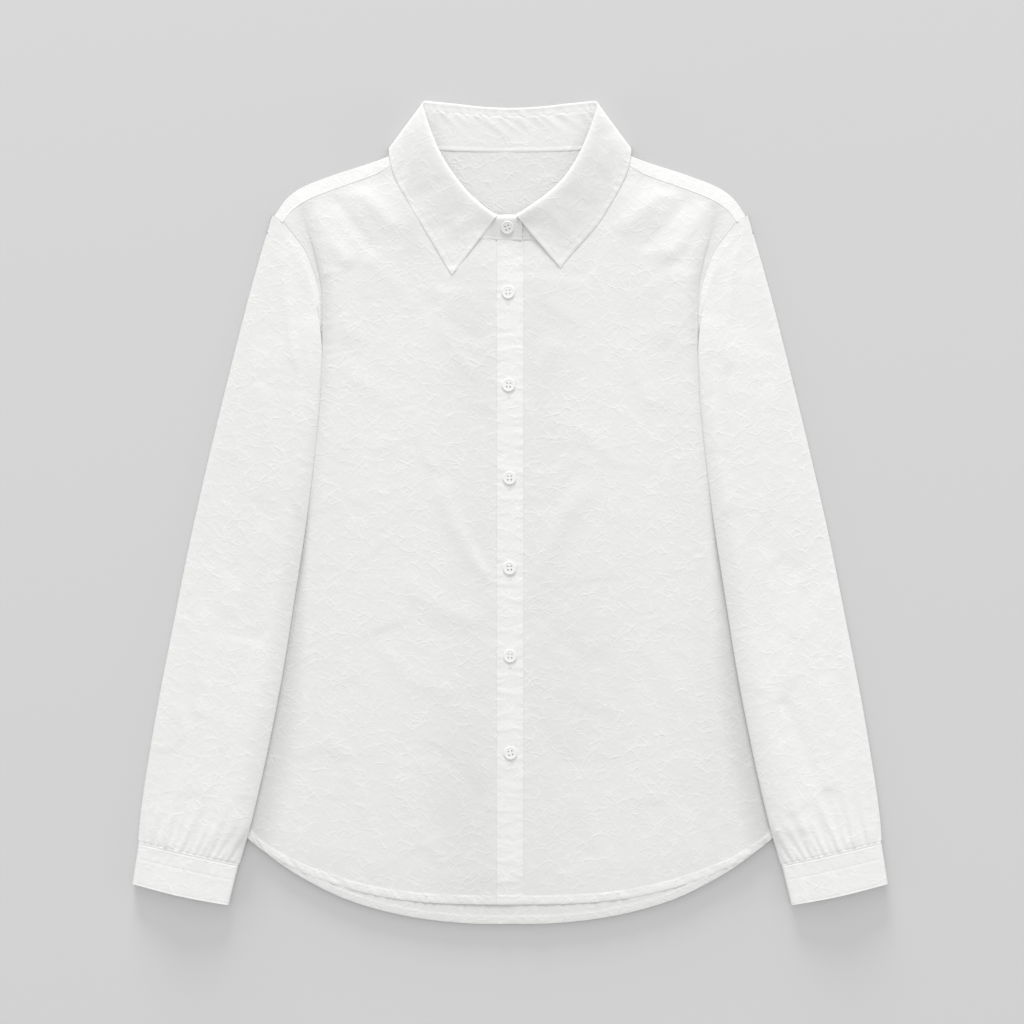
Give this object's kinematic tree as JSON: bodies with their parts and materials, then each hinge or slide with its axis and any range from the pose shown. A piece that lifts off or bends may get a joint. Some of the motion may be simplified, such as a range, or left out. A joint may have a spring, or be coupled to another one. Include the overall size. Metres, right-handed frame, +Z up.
{
  "type": "button-front cotton shirt laid flat",
  "caption": "Long-sleeved white cotton shirt with a turn-down collar, curved hem and buttoned cuffs, laid flat on its back.",
  "frame": {"origin": "on the surface the shirt lies on, under the middle of its outline", "axes": "+Z up from the surface, +Y from the hem to the collar, +X across the shirt towards the wearer's left side"},
  "size_m": [0.6584, 0.7163, 0.0112],
  "materials": {
    "cotton": "washed plain-weave cotton, crumpled and not ironed",
    "button_plastic": "off-white moulded shirt button, satin gloss"
  },
  "bodies": {
    "root": {"back_panel": "cotton", "yoke": "cotton", "front_right": "cotton", "front_left": "cotton", "placket": "cotton", "collar_stand": "cotton", "collar": "cotton", "sleeve_right": "cotton", "sleeve_left": "cotton", "cuff_right": "cotton", "cuff_left": "cotton", "button_1": "button_plastic", "button_2": "button_plastic", "button_3": "button_plastic", "button_4": "button_plastic", "button_5": "button_plastic", "button_6": "button_plastic", "button_7": "button_plastic", "cuff_button_right": "button_plastic", "cuff_button_left": "button_plastic"}
  },
  "joints": []
}
